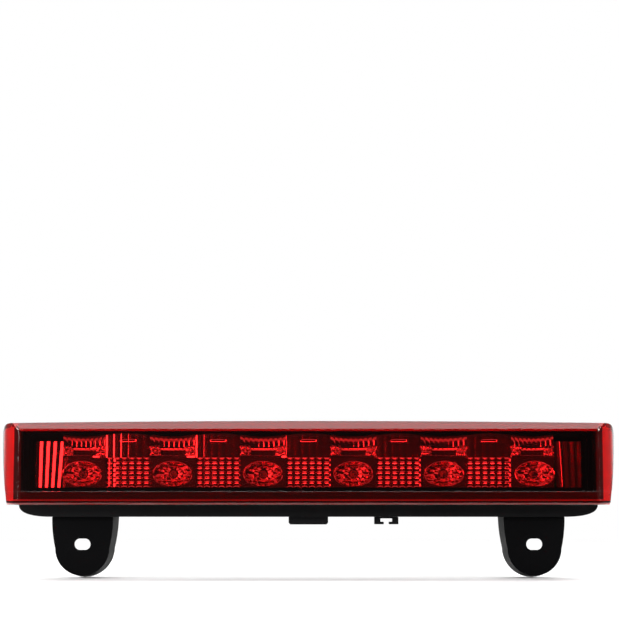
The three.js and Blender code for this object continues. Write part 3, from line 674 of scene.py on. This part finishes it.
def bowl_panel(bm, x, led_z, sizes, left, right, places):
    """A bowl with its petals in a flat land. left and right are how far the land reaches to each
    side of the LED."""
    land, back, low, split, high = places
    a, b = sizes.bowl_width / 2, sizes.bowl_height / 2
    hole = sizes.bowl_hole
    around = sizes.petals * PER_PETAL

    def ring_point(angle, share):
        """share runs from 0 at the LED's hole to 1 at the rim."""
        out = math.sqrt(share)
        rx, rz = hole + (a - hole) * out, hole + (b - hole) * out
        petal = abs(((angle / math.tau * sizes.petals) % 1) - 0.5) * 2
        dish = sizes.petal_depth * petal * math.sin(math.pi * share) ** PETAL_FULLNESS
        back_by = sizes.bowl_depth * (1 - share) + dish
        return Vector((x + rx * math.cos(angle), land + back_by, led_z + rz * math.sin(angle)))

    def edge_point(angle):
        """Where a ray from the bowl's middle meets the land's rectangle."""
        c, s = math.cos(angle), math.sin(angle)
        side = right if c > 0 else left
        reach = min(
            side / abs(c) if abs(c) > TINY else math.inf,
            (split - led_z) / s if s > TINY else math.inf,
            (led_z - low) / -s if s < -TINY else math.inf,
        )
        return Vector((x + reach * c, land, led_z + reach * s))

    def outwards(point, by):
        away = Vector((point.x - x, 0, point.z - led_z))
        return point + away.normalized() * by

    angles = [math.tau * k / around for k in range(around)]
    corner_angles = [
        math.atan2(dz, dx) % math.tau for dx in (-left, right) for dz in (split - led_z, low - led_z)
    ]
    for corner in corner_angles:
        nearest = min(range(around), key=lambda k: abs(angles[k] - corner))
        angles[nearest] = corner
    loops = [[ring_point(angle, 0) + Vector((0, HOLE_DEPTH, 0)) for angle in angles]]
    loops += [[ring_point(angle, k / BOWL_RINGS) for angle in angles] for k in range(BOWL_RINGS + 1)]
    rim = loops[-1]
    for k in range(1, RIM_STEPS):
        turn_by = math.pi * k / RIM_STEPS
        out_by = sizes.rim * (1 - math.cos(turn_by)) / 2
        forward = Vector((0, -sizes.rim * math.sin(turn_by), 0))
        loops.append([outwards(p, out_by) + forward for p in rim])
    rim_foot = [outwards(p, sizes.rim) for p in rim]
    outer = [edge_point(angle) for angle in angles]
    halfway = [p.lerp(q, 0.5) for p, q in zip(rim_foot, outer)]
    loops += [rim_foot, halfway, outer, [Vector((p.x, back, p.z)) for p in outer]]
    made = [[bm.verts.new(p) for p in loop] for loop in loops]
    for low_loop, high_loop in zip(made, made[1:]):
        for i in range(around):
            j = (i + 1) % around
            bm.faces.new([low_loop[i], low_loop[j], high_loop[j], high_loop[i]])
    inner = [bm.verts.new((v.co.x, back, v.co.z)) for v in made[0]]
    for i in range(around):
        j = (i + 1) % around
        bm.faces.new([made[0][j], made[0][i], inner[i], inner[j]])
        bm.faces.new([inner[j], inner[i], made[-1][i], made[-1][j]])


def shelf_panel(bm, x, left, right, places):
    """The fluted shelves over a bowl, with ridges in their corners. left and right are how far
    they reach to each side of the LED."""
    land, back, _, split, high = places

    def shelves(u, v):
        hollow = 1 - (2 * u - 1) ** 2
        bottom, setback, lean, flutes = [shelf for shelf in SHELVES if v >= shelf[0]][-1]
        rib = flutes * wave(u, SHELF_FLUTES)
        edge = min(u, 1 - u)
        if edge < CORNER_WIDTH and CORNER_LOW < v < CORNER_HIGH:
            up = (v - CORNER_LOW) / (CORNER_HIGH - CORNER_LOW)
            rib += CORNER_RIDGE * ridge(edge * CORNER_PITCH, 3) * ridge(up, 2)
        crest = high - SHELF_DROP - PANEL_CROWN * hollow
        back_by = SHELF_HOLLOW * hollow + setback + lean * (v - bottom) - rib
        return x - left + (left + right) * u, land + back_by, split + (crest - split) * v

    relief(bm, SHELF_COLUMNS, SHELF_ROWS, shelves, back)


def end_panel(bm, side, inside, outside, sizes, places):
    """The fluted panel between the last bowl and the reflector's end."""
    land, back, low, split, high = places

    def flutes(u, v):
        near = inside + PANEL_NARROWING * (1 - v)
        out = near + (outside - near) * u
        rib = sizes.end_flute_depth * max(0.0, 1 - 2 * ((u * sizes.end_flutes) % 1))
        back_by = sizes.step - sizes.end_rise * u - rib
        return side * out, land + back_by, low + (high - sizes.end_drop - low) * v

    relief(bm, sizes.end_flutes * PER_END_FLUTE, END_ROWS, flutes, back)


class LAMP_OT_reflector(bpy.types.Operator):
    """Mould the metallised reflector with its bowls, prism panels and end panels"""

    bl_idname = "lamp.reflector"
    bl_label = "Reflector"

    def execute(self, context):
        sizes = context.scene.lamp_reflector
        low, high = box_mm("reflector")
        leds = sorted((middle_mm(name) for name in LED_NODES), key=lambda p: p.x)
        pitch = leds[1].x - leds[0].x
        places = (low.y + sizes.land, OPTICS_BACK, low.z, OPTICS_SPLIT, high.z)
        half = (pitch - sizes.prism_width) / 2
        bm = bmesh.new()
        for at in leds:
            left = sizes.end_cell if at is leds[0] else half
            right = sizes.end_cell if at is leds[-1] else half
            bowl_panel(bm, at.x, at.z, sizes, left, right, places)
            shelf_panel(bm, at.x, left, right, places)
        for left, right in zip(leds, leds[1:]):
            prism_panel(bm, (left.x + right.x) / 2, sizes, places)
        for side in (-1, 1):
            end_panel(bm, side, leds[-1].x + sizes.end_cell, high.x, sizes, places)
        make_object(
            "metallised_reflector", bm, metallised(context.scene.lamp_colours), "reflector",
            angle=FACET_ANGLE,
        )
        return {"FINISHED"}


# ---------------------------------------------------------------------------------------------
# Pieces whose CAD shape is right: a copy with moulded or rolled edges

FLAT_ENOUGH = math.radians(1.5)  # faces that turn by less than this are one flat face
SHARP = math.radians(30)  # edges that turn by more than this are rounded


def refined(name, node, material, edge, segments=2):
    """A copy of a CAD node with its flat faces whole and its sharp edges rounded."""
    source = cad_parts[node]
    bm = bmesh.new()
    bm.from_mesh(source.data)
    bmesh.ops.remove_doubles(bm, verts=bm.verts, dist=TINY)
    bmesh.ops.dissolve_limit(
        bm, angle_limit=FLAT_ENOUGH, verts=bm.verts, edges=bm.edges, use_dissolve_boundaries=False
    )
    for face in bm.faces:
        face.material_index = 0
    obj = smooth_object(name, bm, material)
    bevel = obj.modifiers.new("rounded edges", "BEVEL")
    bevel.width = mm(edge)
    bevel.segments = segments
    bevel.limit_method = "ANGLE"
    bevel.angle_limit = SHARP
    stand_for(obj, node)
    return obj


class LAMP_OT_housing(bpy.types.Operator):
    """Give the black tub and its brackets moulded edges and grain"""

    bl_idname = "lamp.housing"
    bl_label = "Housing and brackets"

    def execute(self, context):
        base = context.scene.lamp_colours.plastic
        abs_black = moulded("black_moulded_abs", base, 0.36, 0.35, 0.006, level=0.08)
        refined("moulded_housing", "housing", abs_black, 0.5)
        tab_black = moulded("black_glass_filled_nylon", base, 0.5, 0.35, 0.01, level=0.03)
        for side in ("left", "right"):
            refined(f"moulded_bracket_{side}", f"bracket_{side}", tab_black, 0.9, 3)
        return {"FINISHED"}


EPOXY, CUP_METAL, DIE = range(3)  # an LED's materials
LED_RIM = 0.4  # how far the collar stands out past the dome
COLLAR_EDGE = 0.1
COLLAR_DEPTH = 1.0
DOME_STEPS = 8
LED_SEGMENTS = 40
CUP_RADIUS = 1.1  # the cup that the die sits in
CUP_WALL = 0.15
CUP_FLOOR = 0.5  # radius of the cup's flat floor
CUP_HOLLOW = 0.6  # how deep the cup is
CUP_DEPTH = 1.4
CUP_BACK = 3.4  # from the cup's front to the back of the LED
CUP_SEGMENTS = 24
DIE_SIZE = (0.4, 0.3, 0.4)
DIE_DROP = 0.4  # from the cup's front to the die's middle
POST_SIZE = (0.45, 1.7, 0.45)
POST_DROP = 2.35  # from the cup's front to a post's middle
POST_APART = 0.7  # from the LED's axis to a post


class LAMP_OT_leds(bpy.types.Operator):
    """Cast the six LEDs: an epoxy dome round a cup, a die and two posts"""

    bl_idname = "lamp.leds"
    bl_label = "LEDs"

    def execute(self, context):
        epoxy = clear_epoxy()
        cup_metal = plated("silvered_lead_frame", "#d8d4c8", 0.2, 0.8)
        die = moulded("orange_die", srgb("#c86a20"), 0.3, 0.2, 0.002)
        for node in LED_NODES:
            low, high = box_mm(node)
            x, z = (low.x + high.x) / 2, (low.z + high.z) / 2
            rim = (high.x - low.x) / 2
            radius = rim - LED_RIM
            dome = low.y + radius
            collar = high.y - COLLAR_DEPTH
            profile = [
                (0, high.y),
                (rim - COLLAR_EDGE, high.y),
                (rim, high.y - COLLAR_EDGE),
                (rim, collar + COLLAR_EDGE),
                (rim - COLLAR_EDGE, collar),
                (radius, collar),
            ]
            for k in range(DOME_STEPS):
                t = math.pi / 2 * k / DOME_STEPS
                profile.append((radius * math.cos(t), dome - radius * math.sin(t)))
            profile.append((0, low.y))
            cup = high.y - CUP_BACK
            cup_profile = [
                (0, cup + CUP_DEPTH),
                (CUP_RADIUS, cup + CUP_DEPTH),
                (CUP_RADIUS, cup),
                (CUP_RADIUS - CUP_WALL, cup),
                (CUP_FLOOR, cup + CUP_HOLLOW),
                (0, cup + CUP_HOLLOW),
            ]
            bm = bmesh.new()
            turn(bm, profile, x, z, LED_SEGMENTS, EPOXY)
            turn(bm, cup_profile, x, z, CUP_SEGMENTS, CUP_METAL)
            block_at(bm, (x, cup + DIE_DROP, z), DIE_SIZE, DIE)
            for side in (-1, 1):
                block_at(bm, (x + side * POST_APART, cup + POST_DROP, z), POST_SIZE, CUP_METAL)
            led = make_object(f"cast_{node}", bm, epoxy, node, angle=40)
            led.data.materials.append(cup_metal)
            led.data.materials.append(die)
        return {"FINISHED"}


class LAMP_OT_small_parts(bpy.types.Operator):
    """Finish the seals, board, chips, connector, clip, leads and screws"""

    bl_idname = "lamp.small_parts"
    bl_label = "Small parts"

    def execute(self, context):
        colours = context.scene.lamp_colours
        nylon = moulded("black_moulded_nylon", srgb("#08080a"), 0.45, 0.3, 0.01, level=0.08)
        rubber = moulded("black_rubber", srgb("#0c0c0e"), 0.75, 0.6, 0.02, level=0.2)
        foam = moulded("closed_cell_foam", srgb("#1c1c1f"), 0.95, 0.9, 0.25, level=0.1)
        silicone = moulded("brown_silicone", srgb("#8a3a26"), 0.6, 0.5, 0.01)
        chip = moulded("chip_ceramic", srgb("#1a1a1e"), 0.35, 0.2, 0.004)
        zinc = plated("zinc_plated_steel", "#b4b8bc", 0.3, 1.5)
        tin = plated("tinned_brass", "#cdc6ae", 0.25, 0.8)
        wires = {
            "lead_left": moulded("red_pvc", srgb("#a01418"), 0.3, 0.8, 0.004),
            "lead_right": moulded("black_pvc", srgb("#121214"), 0.3, 0.8, 0.004),
        }
        plain = {
            "connector_body": (nylon, "black_nylon", 0.3),
            "harness_clip": (nylon, "black_nylon", 0.3),
            "lens_seal": (rubber, "black_rubber", 0.2),
            "breather_cap": (rubber, "black_rubber", 0.3),
            "rear_gasket": (foam, "foam", 0.6),
            "connector_seal": (silicone, "seal_rubber", 0.2),
            "circuit_board": (solder_mask(colours.board), "board_green", 0.1),
            "lead_left": (wires["lead_left"], "red_pvc", 0.02),
            "lead_right": (wires["lead_right"], "black_pvc", 0.02),
        }
        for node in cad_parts:
            if node in plain:
                material, slot, edge = plain[node]
                refined(f"finished_{node}", node, material, edge)
            elif "screw" in node:
                refined(f"zinc_{node}", node, zinc, 0.12)
            elif node.startswith("terminal"):
                refined(f"tinned_{node}", node, tin, 0.08)
            elif node.startswith("resistor") or node == "polarity_diode":
                made = refined(f"chip_{node}", node, chip, 0.08)
                tin_ends(made, node, tin)
        return {"FINISHED"}


TIN_SHARE = 0.16  # share of a chip's length that each soldered end takes


def tin_ends(obj, node, tin):
    """Gives a chip its two soldered ends."""
    low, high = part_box(node)
    reach = (high[0] - low[0]) * TIN_SHARE
    bm = bmesh.new()
    bm.from_mesh(obj.data)
    for cut_x in (low[0] + reach, high[0] - reach):
        everything = bm.verts[:] + bm.edges[:] + bm.faces[:]
        bmesh.ops.bisect_plane(bm, geom=everything, plane_co=(cut_x, 0, 0), plane_no=(1, 0, 0))
    for face in bm.faces:
        at = face.calc_center_median().x
        face.material_index = 1 if at < low[0] + reach or at > high[0] - reach else 0
    bm.to_mesh(obj.data)
    bm.free()
    obj.data.materials.append(tin)


# ---------------------------------------------------------------------------------------------
# Stage

FLOOR_RADIUS = 3.0
FLOOR_FADE = (0.3, 0.95)  # the floor fades out between these distances from its middle
FLOOR_GAP_MM = 0.05  # between the paper and the lowest point of the lamp
BACKGROUND_RISE = (-0.1, 0.4)  # the bright background comes up between these directions
BACKGROUND_SIDES = (0.42, 0.7)  # and falls away to the sides between these
BACKGROUND_FALL = 0.15  # what is left of it there
ROOM_SPAN = (-0.7, 0.5)  # the rest of the room dims from left to right between these directions
ROOM_LEVELS = (0.1, 0.025)

# Softboxes, in metres and watts: place, width, height, power
SOFTBOXES = {
    "top_softbox": ((0, 0.15, 1.1), 2.4, 1.4, 22),
    "left_softbox": ((-0.74, -1.27, 0.2), 0.24, 0.8, 4.6),
    "right_softbox": ((1.25, -0.6, 0.25), 0.16, 0.7, 3),
    "left_side_softbox": ((-1.25, -0.3, 0.3), 0.5, 0.5, 21),
    "right_side_softbox": ((1.25, -0.3, 0.3), 0.5, 0.5, 16),
    "strip_softbox": ((0, -1.1, 0.22), 1.0, 0.1, 2.5),
}

# The camera stands in front of the lamp, a little under its middle, and looks slightly up.
CAMERA_PLACE = (0.0008, -1.232, -0.0226)
CAMERA_PITCH = 96.09
CAMERA_LENS_MM = 98.4
CAMERA_SENSOR_MM = 36


def area_light(name, place, target, width, height, power):
    """A softbox at place that faces target, all in metres."""
    data = bpy.data.lights.new(name, "AREA")
    data.shape = "RECTANGLE"
    data.size, data.size_y = width, height
    data.energy = power
    lamp = bpy.data.objects.new(name, data)
    lamp.location = place
    lamp.rotation_euler = (Vector(target) - Vector(place)).to_track_quat("-Z", "Y").to_euler()
    bpy.context.scene.collection.objects.link(lamp)


def ramp(tree, value, span, levels):
    """A smooth step from the first level to the second as value crosses the span."""
    made = add_node(
        tree, "ShaderNodeMapRange", {"interpolation_type": "SMOOTHSTEP"}, Value=value,
        From_Min=span[0], From_Max=span[1], To_Min=levels[0], To_Max=levels[1],
    )
    return made.outputs[0]


def combine(tree, operation, *values):
    """A Math node's result."""
    made = add_node(
        tree, "ShaderNodeMath", {"operation": operation}, **{f"_{k}": v for k, v in enumerate(values)}
    )
    return made.outputs[0]


def white_paper():
    """Matt white paper that fades out away from the lamp, so that it has no edge."""
    material, tree, out = new_material("white_paper")
    paper = add_node(
        tree, "ShaderNodeBsdfPrincipled", Base_Color=(*srgb("#f4f4f4"), 1), Roughness=0.8,
        Specular_IOR_Level=0.1,
    )
    place = add_node(tree, "ShaderNodeTexCoord").outputs["Object"]
    reach = add_node(tree, "ShaderNodeVectorMath", {"operation": "LENGTH"}, Vector=place)
    shader = add_node(
        tree, "ShaderNodeMixShader", _0=ramp(tree, reach.outputs["Value"], FLOOR_FADE, (0.0, 1.0)),
        _1=paper.outputs[0], _2=add_node(tree, "ShaderNodeBsdfTransparent").outputs[0],
    )
    finish_material(tree, out, shader)
    return material


def studio_world():
    """A room that is bright behind the lamp and dim in front, with plain white for the camera."""
    world = bpy.data.worlds.new("studio")
    world.use_nodes = True
    tree = world.node_tree
    tree.nodes.clear()
    direction = add_node(tree, "ShaderNodeTexCoord").outputs["Generated"]
    split = add_node(tree, "ShaderNodeSeparateXYZ", Vector=direction)
    behind = ramp(tree, split.outputs["Y"], BACKGROUND_RISE, (0.0, 1.0))
    room = ramp(tree, split.outputs["X"], ROOM_SPAN, ROOM_LEVELS)
    aside = combine(tree, "ABSOLUTE", split.outputs["X"])
    sides = ramp(tree, aside, BACKGROUND_SIDES, (1.0, BACKGROUND_FALL))
    glow = combine(tree, "MAXIMUM", combine(tree, "MULTIPLY", behind, sides), room)
    seen = add_node(tree, "ShaderNodeLightPath").outputs["Is Camera Ray"]
    strength = add_node(tree, "ShaderNodeMix", {"data_type": "FLOAT"}, _0=seen, _2=glow, _3=1.0)
    sky = add_node(tree, "ShaderNodeBackground", Color=(1, 1, 1, 1), Strength=strength.outputs[0])
    tree.links.new(sky.outputs[0], add_node(tree, "ShaderNodeOutputWorld").inputs[0])
    return world


class LAMP_OT_stage(bpy.types.Operator):
    """Set out the floor, the softboxes, the surroundings and the camera"""

    bl_idname = "lamp.stage"
    bl_label = "Stage"

    def execute(self, context):
        scene = context.scene
        low, high = (Vector(corner) for corner in CAD_BOX)
        scene.view_settings.view_transform = "Standard"

        bm = bmesh.new()
        bmesh.ops.create_circle(bm, cap_ends=True, segments=96, radius=FLOOR_RADIUS)
        mesh = bpy.data.meshes.new("floor")
        bm.to_mesh(mesh)
        bm.free()
        mesh.materials.append(white_paper())
        floor = bpy.data.objects.new("floor", mesh)
        floor.location.z = low.z - mm(FLOOR_GAP_MM)
        scene.collection.objects.link(floor)

        scene.world = studio_world()
        middle = (low + high) / 2
        for name, (place, width, height, power) in SOFTBOXES.items():
            area_light(name, place, middle, width, height, power)

        camera = bpy.data.cameras.new("camera")
        camera.sensor_width = CAMERA_SENSOR_MM
        camera.lens = CAMERA_LENS_MM
        eye = bpy.data.objects.new("camera", camera)
        eye.location = CAMERA_PLACE
        eye.rotation_euler = (math.radians(CAMERA_PITCH), 0, 0)
        scene.collection.objects.link(eye)
        scene.camera = eye
        return {"FINISHED"}


# ---------------------------------------------------------------------------------------------
# Panel and registration

STEPS = ("stage", "lens", "reflector", "housing", "leds", "small_parts")


class LAMP_PT_parts(bpy.types.Panel):
    """The lamp's pieces"""

    bl_idname = "LAMP_PT_parts"
    bl_label = "Stop lamp"
    bl_space_type = "VIEW_3D"
    bl_region_type = "UI"
    bl_category = "Stop lamp"

    def draw(self, context):
        for step in STEPS:
            self.layout.operator(f"lamp.{step}")
        for group in (context.scene.lamp_lens, context.scene.lamp_reflector, context.scene.lamp_colours):
            box = self.layout.box()
            for key in group.__annotations__:
                box.prop(group, key)


CLASSES = (
    LensSizes,
    ReflectorSizes,
    LampColours,
    LAMP_OT_stage,
    LAMP_OT_lens,
    LAMP_OT_reflector,
    LAMP_OT_housing,
    LAMP_OT_leds,
    LAMP_OT_small_parts,
    LAMP_PT_parts,
)
SETTINGS = {"lamp_lens": LensSizes, "lamp_reflector": ReflectorSizes, "lamp_colours": LampColours}


def register():
    for cls in CLASSES:
        bpy.utils.register_class(cls)
    for key, group in SETTINGS.items():
        setattr(bpy.types.Scene, key, bpy.props.PointerProperty(type=group))


def unregister():
    for key in SETTINGS:
        delattr(bpy.types.Scene, key)
    for cls in reversed(CLASSES):
        bpy.utils.unregister_class(cls)


def main():
    """Builds the whole lamp."""
    register()
    for step in STEPS:
        getattr(bpy.ops.lamp, step)()


if __name__ == "__main__":
    main()
